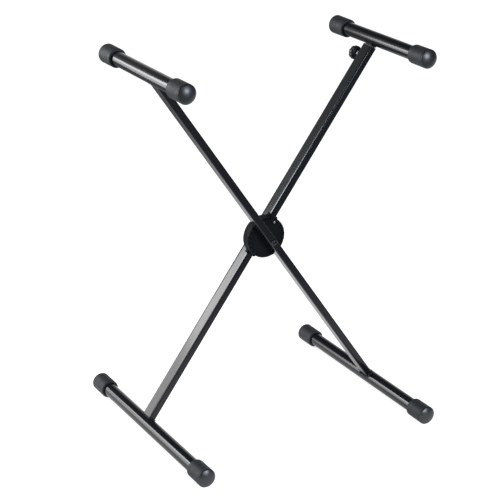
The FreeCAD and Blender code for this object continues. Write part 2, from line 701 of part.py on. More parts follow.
def clamp_knob():
    """Scalloped knob with a slim neck, moulded round its screw."""
    body = new_body("clamp_knob")
    knob_back = "(dims.knob_neck_length + dims.knob_thick)"
    screw_end = f"({knob_back} - dims.screw_cover)"
    revolve(body, "YZ_Plane", [
        ("0", "dims.bolt_radius"),
        ("0", "dims.knob_neck"),
        ("dims.knob_neck_length", "dims.knob_neck"),
        ("dims.knob_neck_length", "dims.knob_radius"),
        (knob_back, "dims.knob_radius"),
        (knob_back, "0"),
        (screw_end, "0"),
        (screw_end, "dims.bolt_radius"),
    ])
    back = number("knob_neck_length") + number("knob_thick")
    soften(body, "Chamfer", "dims.knob_edge", lambda edge: is_ring(edge, number("knob_radius"), back))
    hollow = new_sketch(body, "XZ_Plane")
    from_axis = "dims.knob_radius + dims.scallop_radius - dims.scallop_bite"
    add_circle(hollow, "0", from_axis, "dims.scallop_radius")
    scallop = cut(body, hollow, both_ways=True)
    repeat_round(body, scallop, "dims.scallop_count")
    put_on_clamp_axis(body, f"{BACK_OF_STAND} + dims.clamp_nut_height + dims.knob_start")
    return body


# ---- The stand ---------------------------------------------------------------------------------

leg_tube("front_leg_tube", -1, FRONT_LEG_Y, "dims.upper_leg", WALL_BORE)
rear_leg = leg_tube("rear_leg_tube", 1, REAR_LEG_Y, TUBE_TOP, "dims.bush_radius")
screw_way = new_sketch(rear_leg, "XZ_Plane", f"-{REAR_LEG_Y}")
add_circle(screw_way, "0", CLAMP_Z, SCREW_HOLE)
cut(rear_leg, screw_way)

# Every bar: its name, its side (+1 right, -1 left) and whether it is a keyboard arm.
BARS = [("front_foot", 1, False), ("rear_foot", -1, False), ("front_arm", -1, True), ("rear_arm", 1, True)]
for bar, side, top in BARS:
    cross_bar(bar + "_bar", side, top)
    end_caps(bar, side, top)

front_disc()
rear_disc()
stop_pin()
pivot_bolt()
turned_ring("front_leg_bush", -1, f"{FRONT_OF_STAND} + dims.tube_wall",
            f"{FRONT_OF_STAND} + dims.tube_depth - dims.tube_wall", BORE_RADIUS, "dims.bush_radius")
turned_ring("rear_leg_bush", 1, f"{BACK_OF_STAND} - dims.tube_depth", BACK_OF_STAND,
            BORE_RADIUS, "dims.bush_radius")
turned_ring("flat_washer", -1, f"{BACK_OF_STAND} + dims.washer_gap", spring_start(),
            WALL_BORE, "dims.washer_radius")
spring_washer()
hex_nut("lock_nut", -1, "0", lock_nut_start(), "dims.lock_nut_height")

guide_sleeve()
arm_stem()
hex_nut("clamp_nut", 1, CLAMP_Z, BACK_OF_STAND, "dims.clamp_nut_height")
clamp_screw()
clamp_knob()

# ---- Check and write ---------------------------------------------------------------------------

doc.recompute()
for made in doc.Objects:
    if "Invalid" in made.State or "Error" in made.State:
        raise RuntimeError(f"{made.Name} failed: {made.State}")
for part in parts:
    if part.Shape.isNull() or not part.Shape.isValid():
        raise RuntimeError(f"{part.Label} has no valid shape")

os.makedirs("parts", exist_ok=True)
for part in parts:
    part.Shape.exportStep(f"parts/{part.Label}.step")
    box = part.Shape.BoundBox
    print(f"{part.Label}: {len(part.Shape.Solids)} solid, {part.Shape.Volume / 1000:.1f} cm3, "
          f"x {box.XMin:.1f} to {box.XMax:.1f}, y {box.YMin:.1f} to {box.YMax:.1f}, "
          f"z {box.ZMin:.1f} to {box.ZMax:.1f}")
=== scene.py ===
# %% [markdown]
# # A folding keyboard stand, dressed for its portrait
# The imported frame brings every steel, rubber and plastic piece in at its real size, with plain faceted
# shapes. This notebook makes the visible pieces again as smooth surfaces, adds what sizes alone leave out
# (weld beads, threads, moulded edges, the groove of the rubber caps), gives each its finish, and lights
# the stand like a product photograph.

# %% Load the frame
import bmesh
import bpy
import json
import math
import numpy as np
from mathutils import Matrix, Vector


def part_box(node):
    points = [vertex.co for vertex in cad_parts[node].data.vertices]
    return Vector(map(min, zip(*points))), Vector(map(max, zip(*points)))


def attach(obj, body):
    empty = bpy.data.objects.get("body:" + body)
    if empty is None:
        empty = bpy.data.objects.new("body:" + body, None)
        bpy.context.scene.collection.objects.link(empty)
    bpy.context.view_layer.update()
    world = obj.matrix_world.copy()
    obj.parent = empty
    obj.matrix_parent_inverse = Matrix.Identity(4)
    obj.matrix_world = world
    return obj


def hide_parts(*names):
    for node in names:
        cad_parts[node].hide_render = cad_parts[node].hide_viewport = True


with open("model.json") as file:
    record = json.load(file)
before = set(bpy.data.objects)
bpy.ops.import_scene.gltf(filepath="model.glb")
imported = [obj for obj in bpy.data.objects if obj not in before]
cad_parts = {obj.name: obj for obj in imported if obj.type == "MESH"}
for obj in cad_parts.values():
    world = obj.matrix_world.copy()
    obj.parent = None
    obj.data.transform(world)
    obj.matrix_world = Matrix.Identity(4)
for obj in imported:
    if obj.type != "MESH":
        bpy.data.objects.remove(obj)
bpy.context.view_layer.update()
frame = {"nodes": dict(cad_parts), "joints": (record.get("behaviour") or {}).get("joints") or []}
nodes = frame["nodes"]
joints = {joint["name"]: joint for joint in frame["joints"]}
PIVOT = Vector(joints["fold"]["pos_m"])
slide_way = joints["arm_slide"]["axis"]
LEAN = math.atan2(slide_way[0], slide_way[2])
print("loaded", len(nodes), "pieces; each leg leans", round(math.degrees(LEAN), 2), "degrees")

# %% [markdown]
# ## The camera
# A product photographer stands well back with a long lens, so that the near and the far bar keep almost
# the same size. The camera looks down on the stand from its front left. It aims at the pivot bolt and is
# then panned, tilted and rolled by about a degree, because a hand-framed picture is never quite level.

# %% Camera
AZIMUTH = math.radians(31.63)
ELEVATION = math.radians(21.45)
DISTANCE = 3.208
LENS, SENSOR = 109, 36
PAN_LEFT, TILT_DOWN, ROLL = (math.radians(angle) for angle in (0.528, 0.532, 1.236))

outward = Vector((-math.sin(AZIMUTH) * math.cos(ELEVATION),
                  -math.cos(AZIMUTH) * math.cos(ELEVATION),
                  math.sin(ELEVATION)))
facing = (-outward).to_track_quat("-Z", "Y").to_matrix()
hand_held = (Matrix.Rotation(PAN_LEFT, 3, "Y") @ Matrix.Rotation(-TILT_DOWN, 3, "X")
             @ Matrix.Rotation(ROLL, 3, "Z"))
camera_data = bpy.data.cameras.new("camera")
camera_data.sensor_fit = "HORIZONTAL"
camera_data.sensor_width = SENSOR
camera_data.lens = LENS
camera = bpy.data.objects.new("camera", camera_data)
camera.matrix_world = Matrix.Translation(PIVOT + DISTANCE * outward) @ (facing @ hand_held).to_4x4()
bpy.context.scene.collection.objects.link(camera)
bpy.context.scene.camera = camera
bpy.context.scene.view_settings.view_transform = "Standard"
print("camera at", [round(value, 3) for value in camera.matrix_world.translation])

# %% [markdown]
# ## Finishes
# Each finish is one node material: a base colour that drifts a little over the piece, a roughness that
# drifts with it, and one or two layers of noise as relief. The noise reads Object coordinates, which are
# metres here, so a scale of 1000 gives grains of about a millimetre. Numbers that are the same all over a
# piece stay on the shader's own sockets. The same small helpers join the nodes of finishes, world and floor.

# %% Node helpers
def feed(tree, socket, value):
    """Put a value on a socket: a number stays on it, and anything else is linked to it."""
    if isinstance(value, (int, float)):
        socket.default_value = value
    else:
        tree.links.new(value, socket)


def ramp(tree, value, start, end, low, high):
    """A value mapped so that it goes from low at start to high at end and stays there."""
    node = tree.nodes.new("ShaderNodeMapRange")
    for socket, number in (("Value", value), ("From Min", start), ("From Max", end), ("To Min", low),
                           ("To Max", high)):
        feed(tree, node.inputs[socket], number)
    return node.outputs["Result"]


def combine(tree, operation, first, second):
    """A Math node of two values."""
    node = tree.nodes.new("ShaderNodeMath")
    node.operation = operation
    for socket, value in zip(node.inputs, (first, second)):
        feed(tree, socket, value)
    return node.outputs[0]


def choose(tree, switch, off, on):
    """The value off where the switch is 0, and on where it is 1."""
    node = tree.nodes.new("ShaderNodeMix")
    for socket, value in (("Factor", switch), ("A", off), ("B", on)):
        feed(tree, node.inputs[socket], value)
    return node.outputs["Result"]


def parts_of(tree, place):
    """The X, Y and Z of a place, by name."""
    parts = tree.nodes.new("ShaderNodeSeparateXYZ")
    tree.links.new(place, parts.inputs["Vector"])
    return parts.outputs


# %% A helper for finishes
NOISE_RANGE = (0.3, 0.7)
DRIFT_DETAIL, RELIEF_DETAIL = 3, 2
ROUGHNESS_DRIFT = 3


def noise(tree, source, scale, detail):
    """A noise texture over a place."""
    texture = tree.nodes.new("ShaderNodeTexNoise")
    texture.inputs["Scale"].default_value = scale
    texture.inputs["Detail"].default_value = detail
    tree.links.new(source, texture.inputs["Vector"])
    return texture.outputs["Fac"]


def stretched(tree, source, stretch):
    """A place with its coordinates multiplied axis by axis."""
    mapping = tree.nodes.new("ShaderNodeMapping")
    mapping.inputs["Scale"].default_value = stretch
    tree.links.new(source, mapping.inputs["Vector"])
    return mapping.outputs["Vector"]


def finish(name, dark, light, rough, drift, reliefs, stretch=None, **sockets):
    """A Principled material. Colour goes from dark to light with one slow noise of the drift's scale, and
    roughness over its range with another. Reliefs are bump on bump, as (scale, depth in metres) pairs."""
    made = bpy.data.materials.new(name)
    made.use_nodes = True
    tree = made.node_tree
    shader = tree.nodes["Principled BSDF"]
    for socket, value in sockets.items():
        shader.inputs[socket.replace("_", " ")].default_value = value
    place = tree.nodes.new("ShaderNodeTexCoord").outputs["Object"]
    slow = noise(tree, place, drift, DRIFT_DETAIL)
    tint = tree.nodes.new("ShaderNodeMix")
    tint.data_type = "RGBA"
    tint.inputs["A"].default_value = (*dark, 1)
    tint.inputs["B"].default_value = (*light, 1)
    tree.links.new(ramp(tree, slow, *NOISE_RANGE, 0, 1), tint.inputs["Factor"])
    tree.links.new(tint.outputs["Result"], shader.inputs["Base Color"])
    slow = noise(tree, place, drift * ROUGHNESS_DRIFT, DRIFT_DETAIL)
    tree.links.new(ramp(tree, slow, *NOISE_RANGE, *rough), shader.inputs["Roughness"])
    grain = stretched(tree, place, stretch) if stretch else place
    normal = None
    for scale, depth in reliefs:
        bump = tree.nodes.new("ShaderNodeBump")
        bump.inputs["Strength"].default_value = 1
        bump.inputs["Distance"].default_value = depth
        tree.links.new(noise(tree, grain, scale, RELIEF_DETAIL), bump.inputs["Height"])
        if normal:
            tree.links.new(normal, bump.inputs["Normal"])
        normal = bump.outputs["Normal"]
    tree.links.new(normal, shader.inputs["Normal"])
    return made


# %% [markdown]
# ### Powder coat on the steel
# The tubes and bars are powder coated in glossy black. The powder melts into a skin with a faint orange
# peel, waves of one to two millimetres that are only a few micrometres high, so highlights keep their edge
# but shimmer a little. Two noises do this: a slow one for the peel, a fine one for the skin.

# %% Powder coat
MICRON = 0.000001
powder_coat = finish("powder_coat", (0.0058, 0.0067, 0.0095), (0.0084, 0.0093, 0.0122), (0.11, 0.15),
                     drift=5, reliefs=((420, 2 * MICRON), (2400, 0.3 * MICRON)), IOR=1.5)
print("powder coat:", len(powder_coat.node_tree.nodes), "nodes")

# %% [markdown]
# ### Rubber, moulded plastic and zinc
# The caps are soft black rubber. Their sides come out of an etched mould, matt and finely grained, and
# their domed ends are polished, so the same rubber gets two finishes. The discs are glass-filled nylon
# with a spark-eroded texture, the knob is smoother, the liner is dark grey nylon. The nuts, the washers
# and the stop pin are bright zinc on steel with fine drawn lines, and the pivot bolt is black zinc.

# %% Rubber, plastic and zinc
rubber_side = finish("rubber_side", (0.013, 0.0153, 0.0200), (0.019, 0.0213, 0.0260), (0.52, 0.64),
                     drift=30, reliefs=((1500, 20 * MICRON), (5200, 6 * MICRON)), IOR=1.52)
rubber_dome = finish("rubber_dome", (0.012, 0.0137, 0.0180), (0.016, 0.0177, 0.0215), (0.35, 0.40),
                     drift=30, reliefs=((2600, 2 * MICRON),), IOR=1.52, Specular_IOR_Level=1)
disc_plastic = finish("disc_plastic", (0.0060, 0.0070, 0.0098), (0.0085, 0.0096, 0.0125), (0.52, 0.62),
                      drift=25, reliefs=((2200, 10 * MICRON), (6500, 3 * MICRON)), IOR=1.5,
                      Specular_IOR_Level=0.1)
knob_plastic = finish("knob_plastic", (0.009, 0.0100, 0.0125), (0.013, 0.0140, 0.0160), (0.34, 0.42),
                      drift=40, reliefs=((3200, 3 * MICRON),), IOR=1.5)
liner_nylon = finish("liner_nylon", (0.10, 0.10, 0.105), (0.13, 0.13, 0.135), (0.38, 0.46),
                     drift=40, reliefs=((2600, 6 * MICRON),), IOR=1.53)
black_zinc = finish("black_zinc", (0.05, 0.052, 0.058), (0.08, 0.082, 0.088), (0.30, 0.40),
                    drift=60, reliefs=((1400, 4 * MICRON),), Metallic=1)
zinc = finish("zinc", (0.50, 0.51, 0.53), (0.62, 0.63, 0.65), (0.22, 0.34),
              drift=60, reliefs=((1400, 6 * MICRON),), stretch=(1, 9, 1), Metallic=1)
FINISHES = {"black_steel": powder_coat, "cap_rubber": rubber_side, "hub_plastic": disc_plastic,
            "liner_plastic": liner_nylon, "knob_plastic": knob_plastic, "zinc_steel": zinc}
print("finishes by slot:", ", ".join(FINISHES))

# %% The CAD pieces get the finish of their slot
for node in nodes.values():
    for slot in node.material_slots:
        slot.material = FINISHES[slot.material.name.split(".")[0]]
print("dressed", len(nodes), "CAD pieces in", len(FINISHES), "finishes")

# %% [markdown]
# ## How the pieces are made
# Almost every piece of this stand is a section swept along a line or turned round an axis. So each is a
# grid of points, rows along the piece and columns round it, worked out in millimetres as one numpy array.
# One helper joins neighbouring points into quads, closes the ends and turns the faces outwards by the sign
# of the enclosed volume. Another puts the piece on its body.

# %% From a grid of points to a piece
MM = 0.001
SHARP = math.radians(38)


def add_object(name, mesh):
    """Add an object for a mesh to the scene, at the origin."""
    added = bpy.data.objects.new(name, mesh)
    bpy.context.scene.collection.objects.link(added)
    return added


def put_on_body(piece, body, replaced):
    """Let a piece ride on a body and take the place of its CAD nodes, if it has any."""
    if replaced:
        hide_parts(*replaced)
    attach(piece, body)
    print(piece.name, "rides on", body, "with", len(piece.data.polygons), "faces")


def face_outwards(mesh):
    """Turn all faces round if the volume that they enclose comes out negative."""
    solid = bmesh.new()
    solid.from_mesh(mesh)
    if solid.calc_volume(signed=True) < 0:
        mesh.flip_normals()
    solid.free()


def make_piece(name, points, body, slot, replaced=(), closed_rows=False, finishes=None, bands=None):
    """Put a grid of points in millimetres, shaped rows x columns x 3, into a mesh.
    The columns always close on themselves. The rows either close too, which gives a wall with an
    inside and an outside, or end in one flat face each. Bands gives each row its finish number."""
    rows, columns = points.shape[:2]
    row = np.arange(rows if closed_rows else rows - 1)[:, None]
    column = np.arange(columns)[None, :]
    following = (column + 1) % columns
    above = (row + 1) % rows
    quads = np.stack(np.broadcast_arrays(row * columns + column, row * columns + following,
                                         above * columns + following, above * columns + column), -1)
    faces = quads.reshape(-1, 4).tolist()
    if not closed_rows:
        ring = np.arange(columns)
        faces += [ring[::-1].tolist(), (ring + (rows - 1) * columns).tolist()]
    mesh = bpy.data.meshes.new(name)
    mesh.from_pydata((points.reshape(-1, 3) * MM).tolist(), [], faces)
    face_outwards(mesh)
    mesh.shade_smooth()
    mesh.set_sharp_from_angle(angle=SHARP)
    for material in finishes or (FINISHES[slot],):
        mesh.materials.append(material)
    if bands is not None:
        per_face = np.repeat(np.asarray(bands, dtype=np.int32), columns)[:len(faces)]
        mesh.polygons.foreach_set("material_index", per_face)
    put_on_body(add_object(name, mesh), body, replaced)


# %% [markdown]
# A turned piece needs only its profile: where each point lies along the axis, and how far from it. Some
# turned pieces aren't quite round, such as a nut or a knob with finger hollows. For them the radius is a
# function of the angle as well. Such a piece is a list of rows, each with its place along the axis and
# either one radius or one for every column.

# %% Turned pieces
def turned(profile, columns=96):
    """Turn a profile, rows of (place along the axis, radius), about Y: x = radius cos, z = radius sin."""
    along = np.array([place for place, _ in profile], dtype=float)[:, None]
    radii = np.stack([np.broadcast_to(radius, columns) for _, radius in profile])
    angle = np.arange(columns) * 2 * np.pi / columns
    return np.stack((radii * np.cos(angle), np.broadcast_to(along, radii.shape), radii * np.sin(angle)), -1)


def arc(centre, radius, start, end, steps):
    """Points on a circle in the profile's plane, from one angle to another in degrees."""
    angle = np.radians(np.linspace(start, end, steps))
    return [(centre[0] + radius * math.cos(a), centre[1] + radius * math.sin(a)) for a in angle]


# %% [markdown]
# ## Where things are
# The legs are drawn upright about the pivot and then leaned, the front one to the left and the rear one to
# the right. Both leg planes and the bars' axes follow from the frame's own boxes, so the pieces land where
# the solids are.

# %% Places
PIVOT_MM = np.array(PIVOT) / MM
LEFT, RIGHT = -1, 1
IN_XZ = np.array((1, 0, 1))
ON_PIVOT = PIVOT_MM * (0, 0, 1)


def lean(points, side, centre=PIVOT_MM):
    """Turn points that are drawn about the pivot by the lean angle about Y, and move them to a centre."""
    x, y, z = np.moveaxis(points, -1, 0)
    turned_x = x * math.cos(LEAN) + side * z * math.sin(LEAN)
    turned_z = z * math.cos(LEAN) - side * x * math.sin(LEAN)
    return np.stack((turned_x, y, turned_z), -1) + centre


def box_of(name):
    """Lowest and highest corner of a node, in millimetres."""
    low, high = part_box(name)
    return np.array(low) / MM, np.array(high) / MM


def middle_of(name):
    """Middle of a node's box, in millimetres."""
    low, high = box_of(name)
    return (low + high) / 2


def ends_of(name):
    """Lowest and highest Y of a node, in millimetres."""
    low, high = box_of(name)
    return low[1], high[1]


def bar_axis(name):
    """X and Z of a cross bar's axis, and half its length."""
    x, _, z = middle_of(name)
    front, back = ends_of(name)
    return x, z, (back - front) / 2


BARS = {name: bar_axis(name + "_bar") for name in ("front_foot", "rear_foot", "front_arm", "rear_arm")}
RIDES = {"front_foot": "front_leg", "rear_foot": "rear_leg", "front_arm": "front_leg",
         "rear_arm": "rear_arm"}
LOWER, UPPER = (math.dist(BARS[name][:2], (PIVOT_MM[0], PIVOT_MM[2])) for name in ("front_foot", "front_arm"))
print("pivot to floor bar", round(LOWER, 2), "mm, pivot to arm", round(UPPER, 2), "mm")

# %% [markdown]
# ## Cross bars
# The floor bars and the keyboard arms are lengths of 30 mm round steel tube, sawn square. On the real
# stand their ends hide inside the rubber caps. A turned wall with both its sides is all they need.

# %% Cross bars
BAR_RADIUS = 15
WALL = 1.5
for name, (x, z, half) in BARS.items():
    inner = BAR_RADIUS - WALL
    outside = [(y, BAR_RADIUS) for y in np.linspace(1 - half, half - 1, 15)]
    profile = [(-half, inner), (-half, BAR_RADIUS), *outside, (half, BAR_RADIUS), (half, inner)]
    points = turned(profile, 128) + (x, 0, z)
    make_piece(name + "_bar_steel", points, RIDES[name], "black_steel", (name + "_bar",), closed_rows=True)

# %% [markdown]
# ## Rubber caps
# Each cap is a thick rubber cup that grips the bar. Its mouth has a rounded lip, its side widens a little
# towards the closed end because a mould needs draft, and a fine groove parts the grained side from the
# polished dome. One profile makes all eight: only the place and the direction change.

# %% Profile of a cap
CAP_RADIUS, CAP_SIDE, CAP_LENGTH = 20.25, 47.5, 54
CAP_END_WALL = 6
DRAFT = 0.3
GRIP = 0.05
LIP, MOUTH_ROUND = 0.8, 2
SIDE_START, SIDE_END = 5, 44.4
GROOVE = ((44.6, 0.45), (45.4, 0.45), (45.6, 0.02))  # place along the cap, depth
DOME_START, DOME_ROUND, DOME_ROUND_END, DOME_EDGE = 46.6, 0.9, 32, 0.7
NEAR_AXIS, NEAR_POLE = 0.5, 0.6
dome_rise = CAP_LENGTH - CAP_SIDE
dome_radius = (CAP_RADIUS ** 2 + dome_rise ** 2) / (2 * dome_rise)
rim_angle = math.degrees(math.asin((CAP_RADIUS - DOME_EDGE) / dome_radius))
bore = BAR_RADIUS + GRIP
bore_end = CAP_LENGTH - CAP_END_WALL
side_profile = [(bore_end, NEAR_AXIS), (bore_end, bore), (LIP, bore)]
side_profile += arc((LIP, bore + LIP), LIP, 270, 180, 5)
side_profile += arc((MOUTH_ROUND, CAP_RADIUS - DRAFT - MOUTH_ROUND), MOUTH_ROUND, 180, 90, 9)
side_profile += [(t, CAP_RADIUS - DRAFT * (1 - t / CAP_SIDE)) for t in np.linspace(SIDE_START, SIDE_END, 14)]
side_profile += [(t, CAP_RADIUS - depth) for t, depth in GROOVE]
dome_profile = arc((DOME_START, CAP_RADIUS - DOME_ROUND), DOME_ROUND, 90, DOME_ROUND_END, 5)
dome_profile += arc((CAP_LENGTH - dome_radius, 0), dome_radius, rim_angle, NEAR_POLE, 16)
print("a cap has", len(side_profile), "rows on its side and", len(dome_profile), "on its dome")

# %% Rubber caps
cap = turned(side_profile + dome_profile)
cap_bands = [0] * len(side_profile) + [1] * len(dome_profile)
for name, (x, z, half) in BARS.items():
    for end, way in (("near", -1), ("far", 1)):
        points = cap * (1, way, 1) + (x, way * (half - bore_end), z)
        make_piece(f"{name}_cap_{end}_rubber", points, RIDES[name], "cap_rubber", (name + "_caps",),
                   finishes=(rubber_side, rubber_dome), bands=cap_bands)

# %% [markdown]
# ## Leg tubes and the arm's stem
# The legs are 16 x 30 mm rectangular tube with rounded corners. Where a leg meets a round bar it is cut to
# a saddle: a point of the section at x ends where the bar's surface stands at that x, which is the square
# root of radius squared less x squared above the bar's axis. The stem that slides in the rear leg is a
# smaller tube, cut the same way.

# %% Rectangular tube
def rounded_outline(width, depth, corner, arc_steps=7, side_steps=5):
    """Points round a rectangle with quarter circles for corners, and points along the sides between."""
    corners = []
    for quarter, (sx, sy) in enumerate(((1, 1), (-1, 1), (-1, -1), (1, -1))):
        angle = np.radians(90 * quarter + np.linspace(0, 90, arc_steps))
        centre = (sx * (width / 2 - corner), sy * (depth / 2 - corner))
        corners.append(np.stack((centre[0] + corner * np.cos(angle), centre[1] + corner * np.sin(angle)), -1))
    pieces = []
    for here, following in zip(corners, corners[1:] + corners[:1]):
        pieces += [here, np.linspace(here[-1], following[0], side_steps + 2)[1:-1]]
    return np.concatenate(pieces)


def saddle(x):
    """Height of a cross bar's surface above its axis at a distance x across it."""
    return np.sqrt(BAR_RADIUS ** 2 - x ** 2)


def on_foot(x):
    """Bottom of a leg, sitting on its floor bar."""
    return saddle(x) - LOWER


def under_arm(x):
    """Top of a leg or stem, hugging the arm from below."""
    return UPPER - saddle(x)


def sawn(height):
    """An end sawn square at a height."""
    return lambda x: np.full_like(x, height)


def tube(outline, inside, middle_y, bottom, top, rows):
    """A wall between two outlines, swept up Z. Bottom and top are functions of x."""
    shares = np.linspace(0, 1, rows)
    layers = []
    for shape, order in ((outline, shares), (inside, shares[::-1])):
        low = bottom(shape[:, 0])
        high = top(shape[:, 0])
        height = low + order[:, None] * (high - low)
        layers.append(np.stack((np.broadcast_to(shape[:, 0], height.shape),
                                np.broadcast_to(shape[:, 1] + middle_y, height.shape), height), -1))
    return np.concatenate(layers)


# %% Legs and stem
TUBE_WIDTH, TUBE_DEPTH, TUBE_CORNER = 16, 30, 2.5
STEM_WIDTH, STEM_DEPTH, STEM_CORNER, STEM_INNER_CORNER = 10, 24, 1.6, 0.6
STEM_BOTTOM = 310
ARM_TO_TUBE = 20
TUBE_TOP = UPPER - ARM_TO_TUBE
FRONT_Y = middle_of("front_leg_tube")[1]
REAR_Y = middle_of("rear_leg_tube")[1]
TUBE_BORE = (TUBE_WIDTH - 2 * WALL, TUBE_DEPTH - 2 * WALL)
leg_outline = rounded_outline(TUBE_WIDTH, TUBE_DEPTH, TUBE_CORNER)
leg_inside = rounded_outline(*TUBE_BORE, TUBE_CORNER - WALL)
stem_outline = rounded_outline(STEM_WIDTH, STEM_DEPTH, STEM_CORNER)
stem_inside = rounded_outline(STEM_WIDTH - 2 * WALL, STEM_DEPTH - 2 * WALL, STEM_INNER_CORNER)
front_leg = tube(leg_outline, leg_inside, FRONT_Y, on_foot, under_arm, 30)
rear_leg = tube(leg_outline, leg_inside, REAR_Y, on_foot, sawn(TUBE_TOP), 30)
stem = tube(stem_outline, stem_inside, REAR_Y, sawn(STEM_BOTTOM), under_arm, 14)
make_piece("front_leg_steel", lean(front_leg, LEFT), "front_leg", "black_steel", ("front_leg_tube",),
           closed_rows=True)
make_piece("rear_leg_steel", lean(rear_leg, RIGHT), "rear_leg", "black_steel", ("rear_leg_tube",),
           closed_rows=True)
make_piece("rear_arm_stem_steel", lean(stem, RIGHT), "rear_arm", "black_steel", ("rear_arm_stem",),
           closed_rows=True)

# %% [markdown]
# ## Weld beads
# Each tube is welded all round to its bar. A bead fills the corner between the tube's side and the bar's
# surface, and its ripples show how the torch moved on. The bead is a round cord laid along the saddle
# line: its circle stands in the plane of the two surfaces' normals, and its radius swells and shrinks
# along the way. The swelling lags towards the bead's edges, which bends the ripples into crescents.

# %% A weld bead
BEAD, SET_OUT = 1.7, 0.55
RIPPLE, RIPPLE_PITCH, RIPPLE_LAG = 0.16, 1.9, 0.6
SWELL, SWELL_LENGTH = 0.06, 7.3
BEAD_STEP = 0.32


def bead(outline, middle_y, side, at_foot, phase):
    """A rippled cord along a saddle line, in world millimetres."""
    closed = np.concatenate((outline, outline[:1]))
    travelled = np.concatenate(([0], np.cumsum(np.linalg.norm(np.diff(closed, axis=0), axis=1))))
    steps = int(travelled[-1] / BEAD_STEP)
    way = np.arange(steps) * travelled[-1] / steps
    x = np.interp(way, travelled, closed[:, 0])
    y = np.interp(way, travelled, closed[:, 1])
    along_x, along_y = (np.roll(value, -2) - np.roll(value, 2) for value in (x, y))
    across = np.stack((along_y, -along_x, x * 0), -1)
    across /= np.linalg.norm(across, axis=1)[:, None]
    off_bar = np.stack((x, x * 0, saddle(x) * (1 if at_foot else -1)), -1) / BAR_RADIUS
    height = on_foot(x) if at_foot else under_arm(x)
    line = np.stack((x, y + middle_y, height), -1)
    ring = np.radians(np.arange(0, 360, 20))
    lag = RIPPLE_LAG * (1 - np.cos(ring - math.pi / 4)) / 2
    wave = np.cos(2 * np.pi * (way[:, None] - lag + phase) / RIPPLE_PITCH)
    size = BEAD * (1 + SWELL * np.sin(way / SWELL_LENGTH + phase))[:, None] + RIPPLE * wave
    middle = line + SET_OUT * (across + off_bar)
    points = (middle[:, None] + (size * np.cos(ring))[..., None] * across[:, None]
              + (size * np.sin(ring))[..., None] * off_bar[:, None])
    return lean(points, side)


# %% Weld beads
WELDS = (("front_foot_weld", leg_outline, FRONT_Y, LEFT, True, "front_leg"),
         ("front_arm_weld", leg_outline, FRONT_Y, LEFT, False, "front_leg"),
         ("rear_foot_weld", leg_outline, REAR_Y, RIGHT, True, "rear_leg"),
         ("rear_arm_weld", stem_outline, REAR_Y, RIGHT, False, "rear_arm"))
PHASE_STEP = 0.7
for number, (name, outline, middle_y, side, at_foot, body) in enumerate(WELDS):
    make_piece(name, bead(outline, middle_y, side, at_foot, number * PHASE_STEP), body, "black_steel",
               closed_rows=True)

# %% [markdown]
# ## Sleeve at the rear leg's top
# A nylon liner guides the stem, and its flange covers the sawn tube end: the dim speck under the right-hand
# arm. It is the same kind of wall as the tubes, with a small round on the flange's edge.

# %% Guide sleeve
FLANGE, FLANGE_ROUND = 2, 0.6
SLEEVE_DEPTH = 40
SLEEVE_FIT, SLIDE_GAP, WAY_CORNER, MOUTH_BREAK = 0.05, 0.5, 0.5, 0.3
way_outline = rounded_outline(STEM_WIDTH + SLIDE_GAP, STEM_DEPTH + SLIDE_GAP, WAY_CORNER)
liner_outline = rounded_outline(TUBE_BORE[0] - SLEEVE_FIT, TUBE_BORE[1] - SLEEVE_FIT, TUBE_CORNER - WALL)


def shrunk(outline, by):
    """An outline moved inwards along both axes by the same length."""
    size = np.abs(outline).max(axis=0)
    return outline * (size - by) / size


edge_break = 0.3 * FLANGE_ROUND
layers = ((liner_outline, -SLEEVE_DEPTH), (liner_outline, 0), (leg_outline, 0),
          (leg_outline, FLANGE - FLANGE_ROUND), (shrunk(leg_outline, edge_break), FLANGE - edge_break),
          (shrunk(leg_outline, FLANGE_ROUND), FLANGE), (shrunk(way_outline, -MOUTH_BREAK), FLANGE),
          (way_outline, FLANGE - MOUTH_BREAK), (way_outline, -SLEEVE_DEPTH))
sleeve = np.stack([np.column_stack((shape[:, 0], shape[:, 1] + REAR_Y, np.full(len(shape), TUBE_TOP + z)))
                   for shape, z in layers])
make_piece("guide_sleeve_nylon", lean(sleeve, RIGHT), "rear_leg", "liner_plastic", ("guide_sleeve",),
           closed_rows=True)

# %% [markdown]
# ## The toothed disc joint
# The discs carry crown teeth, grip notches, a channel for the leg and an arc slot. All of that is in the
# CAD solids already, only with knife edges. So the discs are copies of the solids: their loose triangles
# are merged, flat neighbours are joined, and a Bevel rounds every edge as a mould would.

# %% Moulded copies of CAD pieces
MERGE = 0.000002
FLAT = math.radians(0.6)
MOULD_ROUND, MOULD_STEPS = 0.00035, 3


def moulded_copy(node_name, name, body, slot):
    """A copy of a CAD node's mesh, merged, with its edges rounded by a Bevel."""
    mesh = nodes[node_name].data.copy()
    mesh.name = name
    solid = bmesh.new()
    solid.from_mesh(mesh)
    bmesh.ops.remove_doubles(solid, verts=solid.verts, dist=MERGE)
    bmesh.ops.dissolve_limit(solid, angle_limit=FLAT, verts=solid.verts, edges=solid.edges)
    solid.to_mesh(mesh)
    solid.free()
    if "custom_normal" in mesh.attributes:
        mesh.attributes.remove(mesh.attributes["custom_normal"])
    mesh.shade_smooth()
    mesh.set_sharp_from_angle(angle=SHARP)
    mesh.materials.clear()
    mesh.materials.append(FINISHES[slot])
    piece = add_object(name, mesh)
    rounding = piece.modifiers.new("moulded_edges", "BEVEL")
    rounding.width = MOULD_ROUND
    rounding.segments = MOULD_STEPS
    rounding.limit_method = "ANGLE"
    rounding.angle_limit = SHARP
    rounding.harden_normals = True
    put_on_body(piece, body, (node_name,))


moulded_copy("front_hub_disc", "front_disc_moulded", "front_leg", "hub_plastic")
moulded_copy("rear_hub_disc", "rear_disc_moulded", "rear_leg", "hub_plastic")

